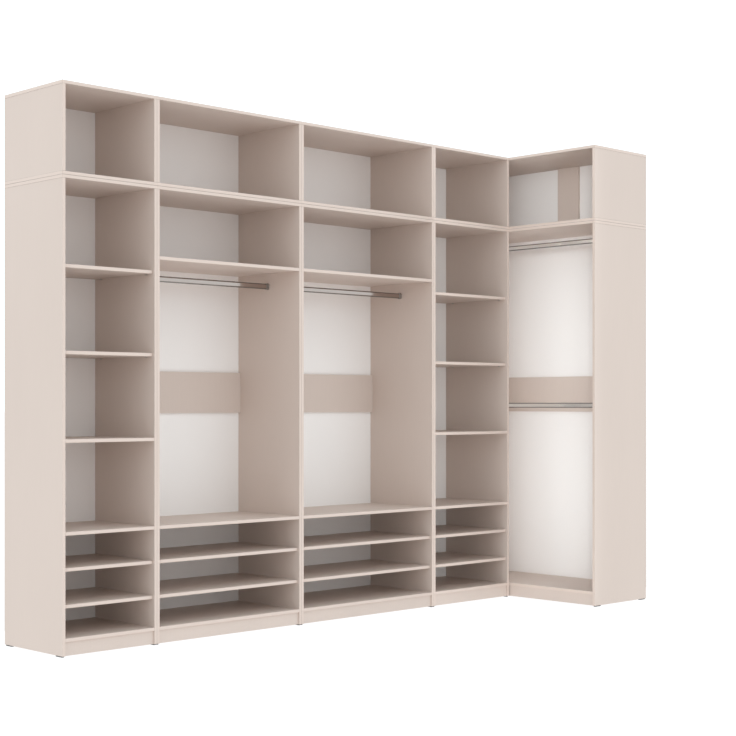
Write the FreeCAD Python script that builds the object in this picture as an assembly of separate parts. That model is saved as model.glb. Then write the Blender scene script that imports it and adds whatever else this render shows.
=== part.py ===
# Open corner wardrobe: four bays along one wall and a fifth bay round the corner along the next wall.
# Each bay is a floor cabinet on flat feet with a separate box stacked on top of it.
# Millimetres. +X runs along the long wing to the corner, +Y to the wall behind the wing, +Z up.
# The origin is on the floor, in the middle of the outer box.

import FreeCAD, Part
import os

os.makedirs("parts", exist_ok=True)

Vector = FreeCAD.Vector
UP = Vector(0, 0, 1)
DOWN = Vector(0, 0, -1)

# Boards and outer sizes of the bays
board = 16.0                    # thickness of the laminated boards
back_sheet = 3.0                # thickness of the white back sheets
bay_depth = 500.0               # front edge of the boards to the rear face of the back sheets
left_shelf_width = 530.0        # the bays of the long wing, from left to right
left_hanging_width = 930.0
right_hanging_width = 1010.0
right_shelf_width = 660.0
corner_reach = 640.0            # how far the corner bay stands out past the front of the wing
corner_angle = -90.0            # turn of the corner bay, in degrees
cabinet_height = 2200.0         # floor cabinet, without its feet
upper_height = 430.0            # box on top of a floor cabinet
plinth_height = 64.0            # board below the bottom
plinth_setback = 8.0            # front plinth behind the front edges
sheet_margin = 1.0              # back sheet inside the outline of its cabinet

# Clear heights between the shelves, from the bottom upwards
shoe_gap_low = 136.0
shoe_gap_middle = 152.0
shoe_gap_high = 150.0
locker_gap_low = 408.0
locker_gap_middle = 390.0
locker_gap_high = 381.0
hat_gap = 322.0                 # above the hat shelf of a hanging bay

# Loose shelves and the pins that carry them
shelf_setback = 14.0            # front edge of a loose shelf behind the front edges
shelf_side_gap = 1.0            # beside a loose shelf, on each side
shelf_rear_gap = 2.0            # between a loose shelf and the back sheet
pin_radius = 2.5
pin_insert = 9.0                # length of a pin inside the side board
pin_reach = 10.0                # length of a pin below the shelf
pin_collar_radius = 4.0
pin_inset = 60.0                # pins behind the front edge and ahead of the back sheet
pin_seat_gap = 0.2              # shelf above the flat top of its pins
pin_flat_share = 0.5            # height of the flat above the pin's centre, as a share of its collar radius

# Hanging rails: oval tubes in cup-shaped sockets
rail_tall = 30.0
rail_wide = 15.0
rail_wall = 1.2
rail_drop = 68.0                # middle of a rail below the board above it
low_rail_height = 1144.0        # middle of the corner bay's second rail above the cabinet's lower edge
socket_base = 3.0
socket_rim = 2.5
socket_depth = 14.0
socket_ease = 0.1               # between tube and socket, all round

# Strips that cover the joint between two back sheets
strip_height = 216.0
strip_middle = 1213.0           # middle of the strips above the cabinet's lower edge
upright_strip_width = 160.0
sheet_joint = 1.0               # gap between two back sheets behind a strip

# Feet under the side boards
foot_height = 5.0
foot_length = 56.0
foot_side_inset = 1.0           # foot inside the faces of its side board
foot_end_inset = 5.0            # foot behind the front edge and ahead of the back sheet
foot_corner = 6.0
foot_peg_radius = 2.5
foot_peg_length = 14.0

# Carcass screws, joining screws and dowels
screw_radius = 3.5
screw_head_radius = 5.0
screw_head_height = 3.0
screw_length = 50.0
joiner_radius = 2.0
joiner_head_radius = 4.0
joiner_head_height = 2.5
joiner_length = 29.0
dowel_radius = 4.0
dowel_length = 30.0
dowel_in_side = 10.0
hole_ease = 0.05                # between a fastener and its hole, all round
end_ease = 0.5                  # hole deeper than its fastener

# Places of fasteners, as shares of the board that they go through
fastener_depth_shares = (0.14, 0.86)
joiner_height_shares = (0.36, 0.73, 0.93)
upper_joiner_height_share = 0.5
joiner_depth_shares = (0.09, 0.91)
stack_width_shares = (0.22, 0.78)

# Overall sizes that follow
carcass_depth = bay_depth - back_sheet
wing_length = left_shelf_width + left_hanging_width + right_hanging_width + right_shelf_width
total_length = wing_length + bay_depth
total_depth = bay_depth + corner_reach
corner_width = total_depth
left_end = -total_length / 2
wing_front = total_depth / 2 - bay_depth
corner_front = left_end + wing_length
cabinet_low = foot_height
cabinet_high = cabinet_low + cabinet_height
upper_low = cabinet_high
upper_high = upper_low + upper_height
bottom_low = cabinet_low + plinth_height
bottom_high = bottom_low + board
top_low = cabinet_high - board

# Heights of the upper faces of the shelves
shoe_shelf_low = bottom_high + shoe_gap_low + board
shoe_shelf_high = shoe_shelf_low + shoe_gap_middle + board
fixed_shelf_low = shoe_shelf_high + shoe_gap_high + board
fixed_shelf_high = fixed_shelf_low + locker_gap_low + board
locker_shelf_low = fixed_shelf_high + locker_gap_middle + board
locker_shelf_high = locker_shelf_low + locker_gap_high + board
hat_shelf = top_low - hat_gap

# Each node is a list of solids, and each bore is cut from every board that it reaches
nodes = {}
bores = []
fastener_nodes = ["carcass_screws", "joining_screws", "dowels", "shelf_pins", "feet",
                  "rail_sockets", "hanging_rails", "corner_rails"]


def add(node, solid):
    nodes.setdefault(node, []).append(solid)


def slab(low, high):
    """A board between two opposite corners."""
    size = high - low
    return Part.makeBox(size.x, size.y, size.z, low)


class Bay:
    """One bay, described from its front left corner: x to the right, y to the back, z up."""

    def __init__(self, name, width, corner, turn, hidden_left, hidden_right):
        self.name = name
        self.width = width
        self.corner = corner
        self.turn = turn
        self.hidden_left = hidden_left
        self.hidden_right = hidden_right

    def place(self, solid):
        placed = solid.copy()
        placed.rotate(Vector(0, 0, 0), UP, self.turn)
        placed.translate(self.corner)
        return placed

    def add(self, part_name, solid):
        add(self.name + "_" + part_name, self.place(solid))

    def fasten(self, node, solid, bore):
        add(node, self.place(solid))
        bores.append(self.place(bore))


def countersunk(point, direction, radius, head_radius, head_height, length, ease):
    """A screw with its flat head at the point, or its hole when it is given some ease."""
    head = Part.makeCone(head_radius + ease, radius + ease, head_height, point, direction)
    shank = Part.makeCylinder(radius + ease, length, point, direction)
    return head.fuse(shank).removeSplitter()


def add_carcass_screw(bay, point, direction):
    sizes = (screw_radius, screw_head_radius, screw_head_height)
    screw = countersunk(point, direction, *sizes, screw_length, 0)
    bore = countersunk(point, direction, *sizes, screw_length + end_ease, hole_ease)
    bay.fasten("carcass_screws", screw, bore)


def add_joining_screw(bay, point, direction):
    sizes = (joiner_radius, joiner_head_radius, joiner_head_height)
    screw = countersunk(point, direction, *sizes, joiner_length, 0)
    bore = countersunk(point, direction, *sizes, joiner_length + end_ease, hole_ease)
    bay.fasten("joining_screws", screw, bore)


def add_dowel(bay, joint_point, direction):
    """A dowel across a joint, longer in the board that it points into."""
    start = joint_point - direction * dowel_in_side
    dowel = Part.makeCylinder(dowel_radius, dowel_length, start, direction)
    bore_start = start - direction * end_ease
    bore_length = dowel_length + end_ease + end_ease
    bore = Part.makeCylinder(dowel_radius + hole_ease, bore_length, bore_start, direction)
    bay.fasten("dowels", dowel, bore)


def join_between_sides(bay, depths, height):
    """Fix a board that stands between the sides: screws where a neighbour hides the heads, else dowels."""
    right = Vector(1, 0, 0)
    left = Vector(-1, 0, 0)
    for depth in depths:
        if bay.hidden_left:
            add_carcass_screw(bay, Vector(0, depth, height), right)
        else:
            add_dowel(bay, Vector(board, depth, height), right)
        if bay.hidden_right:
            add_carcass_screw(bay, Vector(bay.width, depth, height), left)
        else:
            add_dowel(bay, Vector(bay.width - board, depth, height), left)


def fastener_depths():
    return [share * carcass_depth for share in fastener_depth_shares]


def side_middles(bay):
    return (board / 2, bay.width - board / 2)


def add_foot(bay, side_left, depth_start):
    """A flat foot with rounded corners and a peg that goes up into the side board."""
    low = Vector(side_left + foot_side_inset, depth_start, 0)
    high = Vector(side_left + board - foot_side_inset, depth_start + foot_length, foot_height)
    pad = slab(low, high)
    upright_edges = [edge for edge in pad.Edges if edge.BoundBox.ZLength > foot_height / 2]
    pad = pad.makeFillet(foot_corner, upright_edges)
    peg_point = Vector(side_left + board / 2, depth_start + foot_length / 2, foot_height)
    peg = Part.makeCylinder(foot_peg_radius, foot_peg_length, peg_point, UP)
    bore = Part.makeCylinder(foot_peg_radius + hole_ease, foot_peg_length + end_ease, peg_point, UP)
    bay.fasten("feet", pad.fuse(peg).removeSplitter(), bore)


def add_floor_cabinet(bay):
    """Sides, top, bottom, two plinths and four feet."""
    side_starts = (0, bay.width - board)
    for start in side_starts:
        bay.add("sides", slab(Vector(start, 0, cabinet_low), Vector(start + board, carcass_depth, top_low)))
        add_foot(bay, start, foot_end_inset)
        add_foot(bay, start, carcass_depth - foot_end_inset - foot_length)

    bay.add("top", slab(Vector(0, 0, top_low), Vector(bay.width, carcass_depth, cabinet_high)))
    for middle in side_middles(bay):
        for depth in fastener_depths():
            add_carcass_screw(bay, Vector(middle, depth, cabinet_high), DOWN)

    inner_left = board
    inner_right = bay.width - board
    bottom = slab(Vector(inner_left, 0, bottom_low), Vector(inner_right, carcass_depth, bottom_high))
    bay.add("bottom", bottom)
    join_between_sides(bay, fastener_depths(), bottom_low + board / 2)

    for front in (plinth_setback, carcass_depth - board):
        low = Vector(inner_left, front, cabinet_low)
        high = Vector(inner_right, front + board, bottom_low)
        bay.add("plinths", slab(low, high))
        join_between_sides(bay, [front + board / 2], cabinet_low + plinth_height / 2)


def add_upper_box(bay):
    """The box on top: two sides between a top and a bottom as wide as the bay."""
    for start in (0, bay.width - board):
        low = Vector(start, 0, upper_low + board)
        high = Vector(start + board, carcass_depth, upper_high - board)
        bay.add("upper_box", slab(low, high))
    for low_face in (upper_low, upper_high - board):
        low = Vector(0, 0, low_face)
        high = Vector(bay.width, carcass_depth, low_face + board)
        bay.add("upper_box", slab(low, high))
    for middle in side_middles(bay):
        for depth in fastener_depths():
            add_carcass_screw(bay, Vector(middle, depth, upper_low), UP)
            add_carcass_screw(bay, Vector(middle, depth, upper_high), DOWN)
    for share in stack_width_shares:
        for depth in fastener_depths():
            add_joining_screw(bay, Vector(share * bay.width, depth, upper_low + board), DOWN)


def add_sheet(bay, part_name, left, right, low, high):
    bay.add(part_name, slab(Vector(left, carcass_depth, low), Vector(right, bay_depth, high)))


def add_back_in_one(bay, part_name, low, high):
    add_sheet(bay, part_name, sheet_margin, bay.width - sheet_margin, low, high - sheet_margin)


def add_back_with_strip(bay):
    """Two back sheets, one above the other, with a level strip over their joint."""
    left = sheet_margin
    right = bay.width - sheet_margin
    joint = cabinet_low + strip_middle
    add_sheet(bay, "back", left, right, bottom_low, joint - sheet_joint / 2)
    add_sheet(bay, "back", left, right, joint + sheet_joint / 2, cabinet_high - sheet_margin)
    low = Vector(board, carcass_depth - board, joint - strip_height / 2)
    high = Vector(bay.width - board, carcass_depth, joint + strip_height / 2)
    add("back_strips", bay.place(slab(low, high)))
    join_between_sides(bay, [carcass_depth - board / 2], joint)


def add_upper_back_with_strip(bay):
    """Two back sheets side by side, with an upright strip over their joint."""
    middle = bay.width / 2
    low = upper_low
    high = upper_high - sheet_margin
    add_sheet(bay, "upper_back", sheet_margin, middle - sheet_joint / 2, low, high)
    add_sheet(bay, "upper_back", middle + sheet_joint / 2, bay.width - sheet_margin, low, high)
    strip_low = Vector(middle - upright_strip_width / 2, carcass_depth - board, upper_low + board)
    strip_high = Vector(middle + upright_strip_width / 2, carcass_depth, upper_high - board)
    add("back_strips", bay.place(slab(strip_low, strip_high)))
    strip_depth = carcass_depth - board / 2
    add_carcass_screw(bay, Vector(middle, strip_depth, upper_low), UP)
    add_carcass_screw(bay, Vector(middle, strip_depth, upper_high), DOWN)


def add_fixed_shelf(bay, upper_face):
    low = Vector(board, 0, upper_face - board)
    high = Vector(bay.width - board, carcass_depth, upper_face)
    bay.add("fixed_shelves", slab(low, high))
    join_between_sides(bay, fastener_depths(), upper_face - board / 2)


def add_pin(bay, wall, direction, depth, seat):
    """A shelf pin: a round peg in the side board and a collar with a flat top below the shelf."""
    flat = pin_collar_radius * pin_flat_share
    centre = Vector(wall, depth, seat - flat)
    peg = Part.makeCylinder(pin_radius, pin_insert, centre, direction * -1)
    collar = Part.makeCylinder(pin_collar_radius, pin_reach, centre, direction)
    end = wall + direction.x * pin_reach
    low = Vector(min(wall, end), depth - pin_collar_radius, seat)
    high = Vector(max(wall, end), depth + pin_collar_radius, seat + flat)
    pin = collar.cut(slab(low, high)).fuse(peg).removeSplitter()
    bore = Part.makeCylinder(pin_radius + hole_ease, pin_insert + end_ease, centre, direction * -1)
    bay.fasten("shelf_pins", pin, bore)


def add_loose_shelf(bay, number, upper_face):
    """A shelf that only lies on four pins and can be drawn forwards."""
    low = Vector(board + shelf_side_gap, shelf_setback, upper_face - board)
    high = Vector(bay.width - board - shelf_side_gap, carcass_depth - shelf_rear_gap, upper_face)
    bay.add("loose_shelf_%d" % number, slab(low, high))
    seat = upper_face - board - pin_seat_gap
    for depth in (pin_inset, carcass_depth - pin_inset):
        add_pin(bay, board, Vector(1, 0, 0), depth, seat)
        add_pin(bay, bay.width - board, Vector(-1, 0, 0), depth, seat)


def oval(start, length, tall, wide):
    """An upright oval, flat on both sides and round above and below, drawn out to the right."""
    round_radius = wide / 2
    reach = tall / 2 - round_radius
    near = Vector(start.x, start.y - round_radius, start.z)
    far = Vector(start.x, start.y + round_radius, start.z)
    lift = Vector(0, 0, reach)
    crown = Vector(start.x, start.y, start.z + tall / 2)
    foot = Vector(start.x, start.y, start.z - tall / 2)
    outline = Part.Wire([
        Part.Arc(near + lift, crown, far + lift).toShape(),
        Part.LineSegment(far + lift, far - lift).toShape(),
        Part.Arc(far - lift, foot, near - lift).toShape(),
        Part.LineSegment(near - lift, near + lift).toShape(),
    ])
    return Part.Face(outline).extrude(Vector(length, 0, 0))


def add_rail(bay, node, height):
    """An oval tube across the bay with a socket on each side board."""
    depth = carcass_depth / 2
    tube_start = board + socket_base
    tube_length = bay.width - tube_start - tube_start
    start = Vector(tube_start, depth, height)
    bore = oval(start, tube_length, rail_tall - rail_wall - rail_wall, rail_wide - rail_wall - rail_wall)
    tube = oval(start, tube_length, rail_tall, rail_wide).cut(bore)
    add(node, bay.place(tube))

    around = socket_ease + socket_ease
    rim = socket_rim + socket_rim
    outer_length = socket_base + socket_depth
    right_socket = bay.width - board - outer_length
    for left, cup_left in ((board, tube_start), (right_socket, right_socket)):
        body_start = Vector(left, depth, height)
        body = oval(body_start, outer_length, rail_tall + around + rim, rail_wide + around + rim)
        cup = oval(Vector(cup_left, depth, height), socket_depth, rail_tall + around, rail_wide + around)
        add("rail_sockets", bay.place(body.cut(cup)))


def add_shelf_bay(bay):
    """Narrow bay: two fixed shelves, two loose shelves above them and two loose shoe shelves below."""
    add_floor_cabinet(bay)
    add_back_in_one(bay, "back", bottom_low, cabinet_high)
    add_fixed_shelf(bay, fixed_shelf_low)
    add_fixed_shelf(bay, fixed_shelf_high)
    loose_faces = (shoe_shelf_low, shoe_shelf_high, locker_shelf_low, locker_shelf_high)
    for number, upper_face in enumerate(loose_faces, start=1):
        add_loose_shelf(bay, number, upper_face)
    add_upper_box(bay)
    add_back_in_one(bay, "upper_back", upper_low, upper_high)


def add_hanging_bay(bay):
    """Wide bay: hat shelf with a rail below it, and a fixed shelf over two loose shoe shelves."""
    add_floor_cabinet(bay)
    add_back_with_strip(bay)
    add_fixed_shelf(bay, fixed_shelf_low)
    add_fixed_shelf(bay, hat_shelf)
    for number, upper_face in enumerate((shoe_shelf_low, shoe_shelf_high), start=1):
        add_loose_shelf(bay, number, upper_face)
    add_rail(bay, "hanging_rails", hat_shelf - board - rail_drop)
    add_upper_box(bay)
    add_back_in_one(bay, "upper_back", upper_low, upper_high)


def add_corner_bay(bay):
    """Deep blind bay along the second wall, with one rail at the top and one at half height."""
    add_floor_cabinet(bay)
    add_back_with_strip(bay)
    add_rail(bay, "corner_rails", top_low - rail_drop)
    add_rail(bay, "corner_rails", cabinet_low + low_rail_height)
    add_upper_box(bay)
    add_upper_back_with_strip(bay)


def join_to_next(bay):
    """Screws from inside a bay into the side of the bay on its right."""
    right = Vector(1, 0, 0)
    wall = bay.width - board
    heights = [cabinet_low + share * cabinet_height for share in joiner_height_shares]
    heights.append(upper_low + upper_joiner_height_share * upper_height)
    for height in heights:
        for share in joiner_depth_shares:
            add_joining_screw(bay, Vector(wall, share * carcass_depth, height), right)


# The long wing from left to right, then the corner bay turned to face along it
wing_widths = (left_shelf_width, left_hanging_width, right_hanging_width, right_shelf_width)
wing_names = ("left_shelf", "left_hanging", "right_hanging", "right_shelf")
wing_bays = []
bay_start = left_end
for bay_name, bay_width in zip(wing_names, wing_widths):
    at_left_end = bay_name == wing_names[0]
    bay_corner = Vector(bay_start, wing_front, 0)
    wing_bays.append(Bay(bay_name, bay_width, bay_corner, 0, not at_left_end, True))
    bay_start += bay_width
corner_corner = Vector(corner_front, total_depth / 2, 0)
corner_bay = Bay("corner", corner_width, corner_corner, corner_angle, True, False)

add_shelf_bay(wing_bays[0])
add_hanging_bay(wing_bays[1])
add_hanging_bay(wing_bays[2])
add_shelf_bay(wing_bays[3])
add_corner_bay(corner_bay)
for wing_bay in wing_bays[:-1]:
    join_to_next(wing_bay)


def bored(solid):
    """The board with every hole that reaches into it."""
    reached = [bore for bore in bores if solid.BoundBox.intersect(bore.BoundBox)]
    if not reached:
        return solid
    return solid.cut(reached)


for node_name, solids in nodes.items():
    if node_name not in fastener_nodes:
        solids = [bored(solid) for solid in solids]
    shape = solids[0] if len(solids) == 1 else Part.makeCompound(solids)
    shape.exportStep("parts/%s.step" % node_name)
print("%d nodes, %d solids" % (len(nodes), sum(len(solids) for solids in nodes.values())))
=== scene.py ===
import math

import bmesh
import bpy
from mathutils import Matrix, Vector


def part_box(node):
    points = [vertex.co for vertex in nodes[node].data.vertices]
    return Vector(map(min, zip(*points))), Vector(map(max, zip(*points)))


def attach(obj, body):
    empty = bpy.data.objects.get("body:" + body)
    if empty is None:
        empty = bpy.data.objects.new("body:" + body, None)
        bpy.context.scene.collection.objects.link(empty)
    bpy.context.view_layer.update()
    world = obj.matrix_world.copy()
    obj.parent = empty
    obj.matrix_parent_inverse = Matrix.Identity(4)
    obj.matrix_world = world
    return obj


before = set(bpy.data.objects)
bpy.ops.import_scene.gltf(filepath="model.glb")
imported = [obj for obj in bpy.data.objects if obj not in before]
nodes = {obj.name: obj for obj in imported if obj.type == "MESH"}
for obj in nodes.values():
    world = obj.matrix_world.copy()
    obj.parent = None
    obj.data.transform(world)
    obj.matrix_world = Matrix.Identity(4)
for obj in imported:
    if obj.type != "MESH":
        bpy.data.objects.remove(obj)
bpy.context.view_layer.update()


# Feet: flat pads of dark grey plastic, moulded in one piece with a peg that is pushed up into
# the lower edge of a side board. The mould leaves a fine, dull texture.
noise_low = 0.3
noise_high = 0.7


def new_finish(name):
    """A material with its tree, its shader and the coordinates of the piece."""
    finish = bpy.data.materials.new(name)
    finish.use_nodes = True
    tree = finish.node_tree
    coordinates = tree.nodes.new("ShaderNodeTexCoord")
    return finish, tree, tree.nodes["Principled BSDF"], coordinates.outputs["Object"]


def speckle(tree, place, per_metre, detail):
    """Noise with so many spots to the metre along x, y and z."""
    mapping = tree.nodes.new("ShaderNodeMapping")
    mapping.inputs["Scale"].default_value = per_metre
    noise = tree.nodes.new("ShaderNodeTexNoise")
    noise.inputs["Scale"].default_value = 1.0
    noise.inputs["Detail"].default_value = detail
    tree.links.new(place, mapping.inputs["Vector"])
    tree.links.new(mapping.outputs["Vector"], noise.inputs["Vector"])
    return noise.outputs["Fac"]


def tones(tree, amount, dark, light, start=noise_low, end=noise_high):
    """Colours from dark to light as the amount rises."""
    ramp = tree.nodes.new("ShaderNodeValToRGB")
    first, last = ramp.color_ramp.elements
    first.position = start
    first.color = (*dark, 1.0)
    last.position = end
    last.color = (*light, 1.0)
    tree.links.new(amount, ramp.inputs["Fac"])
    return ramp.outputs["Color"]


def levels(tree, amount, low, high):
    """A value from low to high as the amount rises."""
    scale = tree.nodes.new("ShaderNodeMapRange")
    scale.inputs["From Min"].default_value = noise_low
    scale.inputs["From Max"].default_value = noise_high
    scale.inputs["To Min"].default_value = low
    scale.inputs["To Max"].default_value = high
    tree.links.new(amount, scale.inputs["Value"])
    return scale.outputs["Result"]


def relief(tree, shader, amount, depth):
    """Raises the surface by the depth where the amount is high."""
    bump = tree.nodes.new("ShaderNodeBump")
    bump.inputs["Distance"].default_value = depth
    tree.links.new(amount, bump.inputs["Height"])
    tree.links.new(bump.outputs["Normal"], shader.inputs["Normal"])


def even_finish(name, per_metre, detail, dark, light, roughness, depth=0.0, metal=False):
    """A finish whose colour, roughness and relief, where it has any, follow one noise."""
    finish, tree, shader, place = new_finish(name)
    grain = speckle(tree, place, per_metre, detail)
    tree.links.new(tones(tree, grain, dark, light), shader.inputs["Base Color"])
    tree.links.new(levels(tree, grain, *roughness), shader.inputs["Roughness"])
    if metal:
        shader.inputs["Metallic"].default_value = 1.0
    if depth:
        relief(tree, shader, grain, depth)
    return finish


def paint(node, finish):
    """Gives a piece of the frame its finish."""
    mesh = nodes[node].data
    mesh.materials.clear()
    mesh.materials.append(finish)


foot_plastic = even_finish(
    "foot_plastic", per_metre=(900, 900, 900), detail=3,
    dark=(0.035, 0.034, 0.034), light=(0.060, 0.058, 0.058),
    roughness=(0.45, 0.65), depth=0.0002,
)
paint("feet", foot_plastic)


# Side boards: two to a cabinet, 16 mm chipboard with a plain cashmere laminate on both faces.
# The laminate is pressed with a fine pearl texture that runs faintly up the board.
wing_bays = ("left_shelf", "left_hanging", "right_hanging", "right_shelf")
all_bays = wing_bays + ("corner",)
cashmere_dark = (0.628, 0.524, 0.465)
cashmere_light = (0.667, 0.558, 0.496)
cashmere_roughness = (0.42, 0.56)
cashmere_gloss = 0.35
drawn_per_metre = (620, 620, 9)
cloud_per_metre = (2.3, 2.3, 1.1)
cloud_share = 0.45
pearl_per_metre = (1900, 1900, 1900)
pearl_depth = 0.00006


def feed(tree, socket, value):
    """Links a socket to another one, or sets it to a number or a colour."""
    if isinstance(value, bpy.types.NodeSocket):
        tree.links.new(value, socket)
    else:
        socket.default_value = value


def blend(tree, share, first, second, kind="FLOAT"):
    """Goes from the first number or colour to the second as the share rises."""
    mix = tree.nodes.new("ShaderNodeMix")
    mix.data_type = kind
    feed(tree, mix.inputs["Factor"], share)
    feed(tree, mix.inputs["A"], first)
    feed(tree, mix.inputs["B"], second)
    return mix.outputs["Result"]


def laminate_finish(name):
    """The laminate, with its tree, its shader, its coordinates and the colour in its shader."""
    finish, tree, shader, place = new_finish(name)
    drawn = speckle(tree, place, drawn_per_metre, detail=5)
    cloud = speckle(tree, place, cloud_per_metre, detail=2)
    pearl = speckle(tree, place, pearl_per_metre, detail=2)
    shade = blend(tree, cloud_share, drawn, cloud)
    cashmere = tones(tree, shade, cashmere_dark, cashmere_light)
    tree.links.new(cashmere, shader.inputs["Base Color"])
    tree.links.new(levels(tree, drawn, *cashmere_roughness), shader.inputs["Roughness"])
    shader.inputs["Specular IOR Level"].default_value = cashmere_gloss
    relief(tree, shader, pearl, pearl_depth)
    return finish, tree, shader, place, cashmere


laminate = laminate_finish("laminate")[0]
for bay in all_bays:
    paint(bay + "_sides", laminate)


# Bottoms and plinths: the bottom board lies between the sides with its edge in sight, and a plinth
# board stands under its front and its rear. Same board as the sides, dowelled and screwed.
for bay in all_bays:
    paint(bay + "_bottom", laminate)
    paint(bay + "_plinths", laminate)


# Fixed shelves and tops: two shelves screwed between the sides of each bay in the long wing, and
# a top that lies over both sides. Same board again.
for bay in wing_bays:
    paint(bay + "_fixed_shelves", laminate)
for bay in all_bays:
    paint(bay + "_top", laminate)


# Upper boxes: a top and a bottom as wide as the bay with two short sides between them, screwed
# together and stood on the cabinet below. Same board, and where the tops of two boxes meet, a dark
# hairline of painted shade stands for the shade in the seam between them.
hairline = 0.0012
# Colour of the painted shadow in the seam between the tops of two boxes.
hairline_shade_colour = (0.16, 0.13, 0.11)


def reckon(tree, operation, *values):
    """What a Math node makes of the values, which are numbers or sockets."""
    result = tree.nodes.new("ShaderNodeMath")
    result.operation = operation
    for number, value in enumerate(values):
        feed(tree, result.inputs[number], value)
    return result.outputs["Value"]


def axes(tree, vector):
    """The X, Y and Z of a vector."""
    parts = tree.nodes.new("ShaderNodeSeparateXYZ")
    tree.links.new(vector, parts.inputs["Vector"])
    return parts.outputs


upper_laminate, tree, shader, place, cashmere = laminate_finish("upper_laminate")
surface = tree.nodes.new("ShaderNodeNewGeometry")
facing_up = axes(tree, surface.outputs["True Normal"])["Z"]
along_wing = axes(tree, place)["X"]
on_seam = 0.0
for bay in all_bays[1:]:
    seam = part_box(bay + "_upper_box")[0].x
    near = reckon(tree, "COMPARE", along_wing, seam, hairline / 2)
    on_seam = reckon(tree, "MAXIMUM", on_seam, near)
on_top = reckon(tree, "MULTIPLY", on_seam, facing_up)
# Paints the seam's shade as a dark hairline on the faces that look up.
painted_seam_shadow = blend(tree, on_top, cashmere, (*hairline_shade_colour, 1.0), "RGBA")
tree.links.new(painted_seam_shadow, shader.inputs["Base Color"])
for bay in all_bays:
    paint(bay + "_upper_box", upper_laminate)


# Back sheets: 3 mm hardboard, lacquered white on the face towards the room and raw behind, where
# the wire screen of the press has left its mesh. They cover the rear edges of the boards, and two
# of them meet behind each strip.
lacquer_dark = (0.916, 0.872, 0.847)
lacquer_light = (0.948, 0.911, 0.888)
lacquer_roughness = (0.40, 0.55)
peel_per_metre = (420, 420, 420)
fibre_dark = (0.181, 0.106, 0.060)
fibre_light = (0.294, 0.179, 0.102)
fibre_roughness = (0.70, 0.90)
hairs_per_metre = (520, 520, 520)
pulp_per_metre = (4, 4, 4)
pulp_share = 0.25
mesh_per_metre = 131
mesh_wander = 1.2
sheet_relief = 0.0001
half_turned = 0.5


def back_sheet_finish(name, to_room, across):
    """White on the side that faces the room, brown fibre on the other side and on the edges."""
    finish, tree, shader, place = new_finish(name)
    peel = speckle(tree, place, peel_per_metre, detail=3)
    hairs = speckle(tree, place, hairs_per_metre, detail=5)
    pulp = speckle(tree, place, pulp_per_metre, detail=4)
    fibre = blend(tree, pulp_share, hairs, pulp)

    surface = tree.nodes.new("ShaderNodeNewGeometry")
    facing = tree.nodes.new("ShaderNodeVectorMath")
    facing.operation = "DOT_PRODUCT"
    facing.inputs[1].default_value = to_room
    tree.links.new(surface.outputs["True Normal"], facing.inputs[0])
    lacquered = reckon(tree, "GREATER_THAN", facing.outputs["Value"], half_turned)

    wires = []
    for direction in (across, "Z"):
        weave = tree.nodes.new("ShaderNodeTexWave")
        weave.bands_direction = direction
        weave.inputs["Scale"].default_value = mesh_per_metre
        weave.inputs["Distortion"].default_value = mesh_wander
        tree.links.new(place, weave.inputs["Vector"])
        wires.append(weave.outputs["Fac"])
    screen = reckon(tree, "MULTIPLY", *wires)

    brown = tones(tree, fibre, fibre_dark, fibre_light)
    white = tones(tree, peel, lacquer_dark, lacquer_light)
    raw = levels(tree, fibre, *fibre_roughness)
    coated = levels(tree, peel, *lacquer_roughness)
    tree.links.new(blend(tree, lacquered, brown, white, "RGBA"), shader.inputs["Base Color"])
    tree.links.new(blend(tree, lacquered, raw, coated), shader.inputs["Roughness"])
    relief(tree, shader, blend(tree, lacquered, screen, peel), sheet_relief)
    return finish


wing_sheet = back_sheet_finish("wing_back_sheet", (0, -1, 0), "X")
corner_sheet = back_sheet_finish("corner_back_sheet", (-1, 0, 0), "Y")
wing_sheets = [bay + end for bay in wing_bays for end in ("_back", "_upper_back")]
corner_sheets = ["corner_back", "corner_upper_back"]
for node in wing_sheets:
    paint(node, wing_sheet)
for node in corner_sheets:
    paint(node, corner_sheet)


# Nails: steel pins with a small domed head, driven through the back sheets into the rear edges of
# the boards about every 150 mm. Only the heads stand out, so only they are made here.
nail_radius = 0.0022
nail_height = 0.0009
nail_round = 0.00063
nail_pitch = 0.150
nail_inset = 0.008
sideways = 0
forwards = 1
upwards = 2
merged_within = 0.00001
upper_rim = 0.9
smooth_below = math.radians(40)

nail_steel = even_finish(
    "nail_steel", per_metre=(1400, 1400, 1400), detail=3,
    dark=(0.30, 0.29, 0.28), light=(0.50, 0.49, 0.47),
    roughness=(0.30, 0.50), metal=True,
)


def solids(node):
    """The corners of each solid of a node, found in a merged copy of its mesh."""
    shape = bmesh.new()
    shape.from_mesh(nodes[node].data)
    bmesh.ops.remove_doubles(shape, verts=shape.verts, dist=merged_within)
    boxes = []
    waiting = set(shape.verts)
    while waiting:
        found = [waiting.pop()]
        for vert in found:
            for edge in vert.link_edges:
                other = edge.other_vert(vert)
                if other in waiting:
                    waiting.remove(other)
                    found.append(other)
        low = Vector([min(vert.co[axis] for vert in found) for axis in range(3)])
        high = Vector([max(vert.co[axis] for vert in found) for axis in range(3)])
        boxes.append((low, high))
    shape.free()
    return boxes


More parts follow.
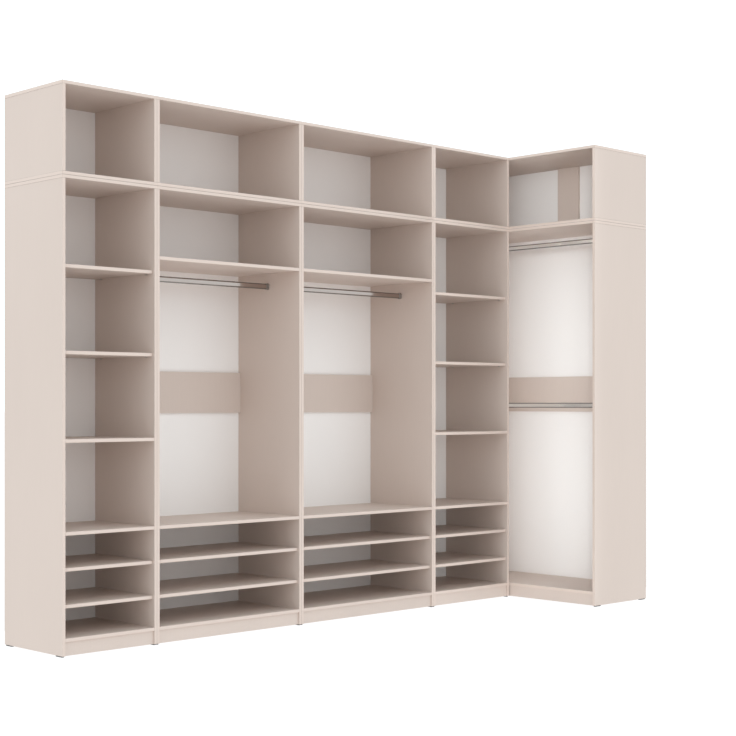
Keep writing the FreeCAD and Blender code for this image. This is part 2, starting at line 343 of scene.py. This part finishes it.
def disc(radius, height, round_over, sides, finish):
    """A flat disc that lies on the ground with its upper rim rounded over."""
    bpy.ops.object.select_all(action="DESELECT")
    bpy.ops.mesh.primitive_cylinder_add(
        vertices=sides, radius=radius, depth=height, location=(0, 0, height / 2))
    made = bpy.context.object
    bpy.ops.object.transform_apply(location=True, rotation=False, scale=False)
    bpy.ops.object.mode_set(mode="EDIT")
    bpy.ops.mesh.select_all(action="DESELECT")
    shape = bmesh.from_edit_mesh(made.data)
    for edge in shape.edges:
        edge.select = all(vert.co.z > height * upper_rim for vert in edge.verts)
    bmesh.update_edit_mesh(made.data)
    bpy.ops.mesh.bevel(offset=round_over, segments=2)
    bpy.ops.object.mode_set(mode="OBJECT")
    made.data.materials.append(finish)
    return made


def set_on(model, places, facing):
    """Copies of a model, each with its own mesh, at the places and turned to the facing."""
    turn = Vector((0, 0, 1)).rotation_difference(facing).to_matrix().to_4x4()
    copies = []
    for spot in places:
        copy = model.copy()
        copy.data = model.data.copy()
        bpy.context.scene.collection.objects.link(copy)
        copy.data.transform(Matrix.Translation(spot) @ turn)
        copies.append(copy)
    return copies


def joined(name, pieces):
    """Joins pieces into one with the given name, smooth where its faces nearly run on."""
    bpy.ops.object.select_all(action="DESELECT")
    for piece in pieces:
        piece.select_set(True)
    bpy.context.view_layer.objects.active = pieces[0]
    bpy.ops.object.join()
    whole = bpy.context.object
    whole.name = name
    whole.data.name = name
    bpy.ops.object.shade_smooth_by_angle(angle=smooth_below)
    return whole


def nail_places(box, across, through):
    """Places round the rim of a sheet, on its rear face."""
    low, high = box
    starts = {}
    spans = {}
    for axis in (across, upwards):
        starts[axis] = low[axis] + nail_inset
        spans[axis] = high[axis] - nail_inset - starts[axis]
    places = []
    for along, over in ((across, upwards), (upwards, across)):
        steps = max(1, round(spans[along] / nail_pitch))
        for step in range(steps + 1):
            for side in (0, 1):
                if along == upwards and step in (0, steps):
                    continue
                spot = Vector((0, 0, 0))
                spot[through] = high[through]
                spot[along] = starts[along] + spans[along] * step / steps
                spot[over] = starts[over] + spans[over] * side
                places.append(spot)
    return places


nail = disc(nail_radius, nail_height, nail_round, sides=8, finish=nail_steel)
nails = []
for node in wing_sheets:
    for sheet in solids(node):
        nails += set_on(nail, nail_places(sheet, sideways, forwards), Vector((0, 1, 0)))
for node in corner_sheets:
    for sheet in solids(node):
        nails += set_on(nail, nail_places(sheet, forwards, sideways), Vector((1, 0, 0)))
bpy.data.objects.remove(nail)
nails = joined("back_nails", nails)
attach(nails, "carcass")


# Strips over the joints of the back sheets: level ones at half height in the three wide bays and
# an upright one in the corner's upper box. Same board, screwed between the sides.
paint("back_strips", laminate)


# Shelf pins: turned steel, nickel plated, with a flat filed on the collar for the shelf to lie on.
# Four of them are pushed into the side boards under each loose shelf.
pin_nickel = even_finish(
    "pin_nickel", per_metre=(1500, 1500, 1500), detail=2,
    dark=(0.48, 0.46, 0.43), light=(0.62, 0.60, 0.57),
    roughness=(0.22, 0.38), metal=True,
)
paint("shelf_pins", pin_nickel)


# Loose shelves: boards that only lie on their pins, a little behind the front edges, so that
# they can be drawn forwards and set higher or lower.
loose_counts = {"left_shelf": 4, "left_hanging": 2, "right_hanging": 2, "right_shelf": 4}
loose_shelves = [
    "%s_loose_shelf_%d" % (bay, number)
    for bay, count in loose_counts.items()
    for number in range(1, count + 1)
]
for shelf in loose_shelves:
    paint(shelf, laminate)


# Edging: plastic strips 1 mm thick, a touch pinker than the laminate, glued to the edges towards
# the room and to the bare ends. Their long corners are rounded over, and where two boards meet
# they stop short of the joint, so the glue shows between them as a dark line: partly the glue's
# own colour and partly painted shade for the shade in the joint.
board = 0.016
edging_thick = 0.001
edging_round = 0.0009
edging_inset = 0.0006
glue_thick = 0.0001
touching = 0.0003
nearly_whole = 0.99
to_front = Vector((0, -1, 0))
to_left = Vector((-1, 0, 0))

edging_plastic = even_finish(
    "edging_plastic", per_metre=(260, 260, 260), detail=4,
    dark=(0.674, 0.552, 0.485), light=(0.704, 0.581, 0.513),
    roughness=(0.34, 0.48), depth=0.00004,
)
# The glue's dark colour is partly its own and partly painted shade for the joint between boards.
glue_and_joint_shade = even_finish(
    "glue_and_joint_shade", per_metre=(300, 300, 300), detail=4,
    dark=(0.090, 0.070, 0.055), light=(0.170, 0.135, 0.110),
    roughness=(0.5, 0.7), depth=0.00005,
)


def block(low, high, finish):
    """A block between two corners."""
    bpy.ops.object.select_all(action="DESELECT")
    bpy.ops.mesh.primitive_cube_add(size=1, location=(low + high) / 2)
    made = bpy.context.object
    made.scale = high - low
    bpy.ops.object.transform_apply(location=True, rotation=False, scale=True)
    made.data.materials.append(finish)
    return made


def edging_strip(low, high, facing):
    """A strip between two corners with its long outer corners rounded over."""
    strip = block(low, high, edging_plastic)
    outer = max(facing.dot(low), facing.dot(high))
    longest = max(high - low)
    bpy.ops.object.mode_set(mode="EDIT")
    bpy.ops.mesh.select_all(action="DESELECT")
    shape = bmesh.from_edit_mesh(strip.data)
    for edge in shape.edges:
        on_face = all(outer - facing.dot(vert.co) < edging_thick / 4 for vert in edge.verts)
        edge.select = on_face and edge.calc_length() > longest * nearly_whole
    shape.select_flush(True)
    bmesh.update_edit_mesh(strip.data)
    bpy.ops.mesh.bevel(offset=edging_round, segments=3)
    bpy.ops.object.mode_set(mode="OBJECT")
    return strip


def end_boards(box, axis):
    """The first and the last board of a group, along an axis."""
    low, high = box
    first_high = high.copy()
    first_high[axis] = low[axis] + board
    last_low = low.copy()
    last_low[axis] = high[axis] - board
    return [(low, first_high), (last_low, high)]


def cabinet_boards(bay, across):
    """The boards of a cabinet that show an edge at the front."""
    boards = end_boards(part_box(bay + "_sides"), across)
    boards += [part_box(bay + "_top"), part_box(bay + "_bottom")]
    if bay in wing_bays:
        boards += end_boards(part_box(bay + "_fixed_shelves"), upwards)
    return boards


def upper_boards(bay, across):
    """The boards of an upper box: bottom, top and the two sides between them."""
    low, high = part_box(bay + "_upper_box")
    rise = Vector((0, 0, board))
    return end_boards((low, high), upwards) + end_boards((low + rise, high - rise), across)


def meets(box, others, axis, end):
    """Whether another board lies against the low (0) or the high (1) face of a board."""
    for other in others:
        apart = abs(box[end][axis] - other[1 - end][axis])
        beside = all(
            min(box[1][k], other[1][k]) - max(box[0][k], other[0][k]) > board / 2
            for k in range(3) if k != axis
        )
        if apart < touching and beside:
            return True
    return False


def edging(name, boards, others, facing, body):
    """Edging with its glue on the side of each board that the facing names."""
    toward = sideways if facing.x else forwards
    strips = []
    for low, high in boards:
        thin = min((k for k in range(3) if k != toward), key=lambda k: high[k] - low[k])
        near = low.copy()
        far = high.copy()
        far[toward] = low[toward]
        near[toward] = low[toward] - glue_thick
        strips.append(block(near, far, glue_and_joint_shade))
        far[toward] = near[toward]
        near[toward] = low[toward] - edging_thick
        if meets((low, high), others, thin, 0):
            near[thin] += edging_inset
        if meets((low, high), others, thin, 1):
            far[thin] -= edging_inset
        strips.append(edging_strip(near, far, facing))
    whole = joined(name, strips)
    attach(whole, body)


wing_boards = []
for bay in wing_bays:
    wing_boards += cabinet_boards(bay, sideways) + upper_boards(bay, sideways)
for bay in wing_bays:
    lower = cabinet_boards(bay, sideways)
    upper = upper_boards(bay, sideways)
    edging(bay + "_edging", lower, wing_boards, to_front, "carcass")
    edging(bay + "_upper_edging", upper, wing_boards, to_front, "carcass")
for shelf in loose_shelves:
    edging(shelf + "_edging", [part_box(shelf)], [], to_front, shelf)
left_ends = upper_boards("left_shelf", sideways)[:2] + [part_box("left_shelf_top")]
edging("left_end_edging", left_ends, wing_boards, to_left, "carcass")

wing_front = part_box("right_shelf_sides")[0].y


def cut_at_wing(boards):
    """The corner's boards, cut off where the long wing begins, as their edging is."""
    cut = []
    for low, high in boards:
        far = high.copy()
        far.y = min(high.y, wing_front - edging_thick)
        if low.y < far.y:
            cut.append((low, far))
    return cut


lower = cabinet_boards("corner", forwards)
upper = upper_boards("corner", forwards)
corner_boards = lower + upper
edging("corner_edging", cut_at_wing(lower), corner_boards, to_left, "carcass")
edging("corner_upper_edging", cut_at_wing(upper), corner_boards, to_left, "carcass")
corner_ends = upper[:2] + [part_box("corner_top")]
edging("corner_end_edging", corner_ends, corner_boards, to_front, "carcass")


# Hanging rails: oval steel tube, chrome plated and polished, one under each hat shelf and two in
# the corner bay. The rounded top and underside are painted darker than the flat sides as painted
# shade, and the flat sides of the corner rails are painted brighter than those of the wing rails
# as painted light.
# Painted shade for the rail's rounded top and underside.
rail_painted_shade = (0.22, 0.22, 0.21)
# Flat sides of the same chrome: painted darker and warmer on the wing rails as painted shade,
# brighter on the corner rails as painted light.
wing_rail_painted_shade_flats = (0.443, 0.383, 0.352)
corner_rail_painted_light_flats = (0.784, 0.764, 0.735)
rail_roughness = (0.09, 0.15)
lines_along = 6
lines_across = 1400
lines_share = 0.15
bright_until = 0.2
painted_shade_from = 0.6


def rail_finish(name, lines_per_metre, rail_bright):
    """Fine drawn lines along the tube, with painted shade that darkens the top and underside
    against the upright faces.
    """
    finish, tree, shader, place = new_finish(name)
    lines = speckle(tree, place, lines_per_metre, detail=3)
    surface = tree.nodes.new("ShaderNodeNewGeometry")
    slope = reckon(tree, "ABSOLUTE", axes(tree, surface.outputs["Normal"])["Z"])
    # The share of painted shade rises where the face turns up or down.
    painted_shade_share = reckon(tree, "MULTIPLY_ADD", lines, lines_share, slope)
    chrome = tones(tree, painted_shade_share, rail_bright, rail_painted_shade, bright_until, painted_shade_from)
    tree.links.new(chrome, shader.inputs["Base Color"])
    tree.links.new(levels(tree, lines, *rail_roughness), shader.inputs["Roughness"])
    shader.inputs["Metallic"].default_value = 1.0
    return finish


wing_lines = (lines_along, lines_across, lines_across)
corner_lines = (lines_across, lines_along, lines_across)
# Wing rails get flat sides painted darker as painted shade, corner rails flat sides painted
# brighter as painted light.
paint("hanging_rails", rail_finish("wing_rail_chrome_painted_shade", wing_lines, wing_rail_painted_shade_flats))
paint("corner_rails", rail_finish("corner_rail_chrome_painted_light", corner_lines, corner_rail_painted_light_flats))


# Rail sockets: cups of die-cast zinc with a satin plating, screwed to the side boards.
# The end of a rail lies in each cup.
socket_metal = even_finish(
    "socket_metal", per_metre=(800, 800, 800), detail=3,
    dark=(0.36, 0.35, 0.34), light=(0.46, 0.45, 0.44),
    roughness=(0.28, 0.42), depth=0.00005, metal=True,
)
paint("rail_sockets", socket_metal)


# Screws and dowels: zinc-plated carcass screws in the hidden faces of the sides, shorter screws
# that join one cabinet to the next, and beech dowels where a face stays in sight.
screw_zinc = even_finish(
    "screw_zinc", per_metre=(1200, 1200, 1200), detail=3,
    dark=(0.40, 0.39, 0.36), light=(0.56, 0.55, 0.52),
    roughness=(0.28, 0.45), metal=True,
)
paint("carcass_screws", screw_zinc)
paint("joining_screws", screw_zinc)

dowel_beech = even_finish(
    "dowel_beech", per_metre=(90, 900, 900), detail=5,
    dark=(0.42, 0.25, 0.13), light=(0.62, 0.42, 0.25),
    roughness=(0.55, 0.75), depth=0.0001,
)
paint("dowels", dowel_beech)


# Covers: self-adhesive discs cut from the boards' own foil, stuck over the heads of the joining
# screws so that they don't show in the bays.
cover_radius = 0.0065
cover_thick = 0.0005
cover_round = 0.0003

cover = disc(cover_radius, cover_thick, cover_round, sides=24, finish=laminate)
on_walls = []
on_bottoms = []
for low, high in solids("joining_screws"):
    middle = (low + high) / 2
    if high.x - low.x > high.z - low.z:
        on_walls.append(Vector((low.x, middle.y, middle.z)))
    else:
        on_bottoms.append(Vector((middle.x, middle.y, high.z)))
covers = set_on(cover, on_walls, to_left) + set_on(cover, on_bottoms, Vector((0, 0, 1)))
bpy.data.objects.remove(cover)
covers = joined("screw_covers", covers)
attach(covers, "carcass")


# Floor: a plain matt white studio floor, so wide that its edge stays out of sight. It is lit from
# within, enough to hold no more than a faint shadow.
floor_wide = 400
floor_grey = (0.12, 0.12, 0.12, 1.0)
floor_glow = (1.0, 1.0, 1.0, 1.0)
floor_glow_strength = 0.95
floor_roughness = 0.9

floor_white, tree, shader, place = new_finish("floor_white")
shader.inputs["Base Color"].default_value = floor_grey
shader.inputs["Roughness"].default_value = floor_roughness
shader.inputs["Specular IOR Level"].default_value = 0.0
shader.inputs["Emission Color"].default_value = floor_glow
shader.inputs["Emission Strength"].default_value = floor_glow_strength
bpy.ops.object.select_all(action="DESELECT")
bpy.ops.mesh.primitive_plane_add(size=floor_wide)
floor = bpy.context.object
floor.name = "floor"
floor.data.materials.append(floor_white)


# Light: an even white studio all round, and soft boxes where one wing would keep the other dark:
# two hang in the mouths of the corner bay, and two with grids before them shine level on the
# fronts that meet in the inner corner.
studio_white = (0.902, 0.971, 1.0)
studio_strength = 1.252
level = math.radians(90)

studio = bpy.data.worlds.new("studio")
studio.use_nodes = True
background = studio.node_tree.nodes["Background"]
background.inputs["Color"].default_value = (*studio_white, 1.0)
background.inputs["Strength"].default_value = studio_strength
bpy.context.scene.world = studio
bpy.context.scene.view_settings.view_transform = "Standard"


def soft_box(name, spot, turn, wide, tall, spread, watts_per_area):
    """A lamp as large as given, turned and spread by degrees, that itself stays out of sight."""
    lamp = bpy.data.lights.new(name, "AREA")
    lamp.shape = "RECTANGLE"
    lamp.size = wide
    lamp.size_y = tall
    lamp.spread = math.radians(spread)
    lamp.energy = watts_per_area * wide * tall
    lamp.color = studio_white
    hung = bpy.data.objects.new(name, lamp)
    hung.location = spot
    hung.rotation_euler = (level, 0, math.radians(turn))
    hung.visible_camera = False
    bpy.context.scene.collection.objects.link(hung)


soft_box(
    "corner_mouth", spot=(1.317, 0.120, 1.135), turn=-90,
    wide=0.86, tall=2.08, spread=180, watts_per_area=1.075)
soft_box(
    "corner_upper_mouth", spot=(1.317, 0.100, 2.420), turn=-90,
    wide=0.90, tall=0.38, spread=180, watts_per_area=1.10)
soft_box(
    "corner_front", spot=(0.390, -1.008, 1.320), turn=-51.2,
    wide=0.50, tall=2.63, spread=10, watts_per_area=0.86)
soft_box(
    "right_bay_front", spot=(0.978, -0.250, 1.320), turn=0,
    wide=0.67, tall=2.63, spread=4, watts_per_area=0.28)


# Camera: level and at chest height, well out to the left in front of the wing, and turned towards
# the inner corner. The lens is long, and its shift keeps the uprights upright.
camera_place = (-5.6324, -5.8231, 1.1559)
camera_turn = math.radians(-44.369)
camera_lens = 73.90
camera_sensor = 36.0
camera_shift = 0.0491

camera_data = bpy.data.cameras.new("camera")
camera_data.sensor_width = camera_sensor
camera_data.lens = camera_lens
camera_data.shift_y = camera_shift
camera = bpy.data.objects.new("camera", camera_data)
camera.location = camera_place
camera.rotation_euler = (level, 0, camera_turn)
bpy.context.scene.collection.objects.link(camera)
bpy.context.scene.camera = camera
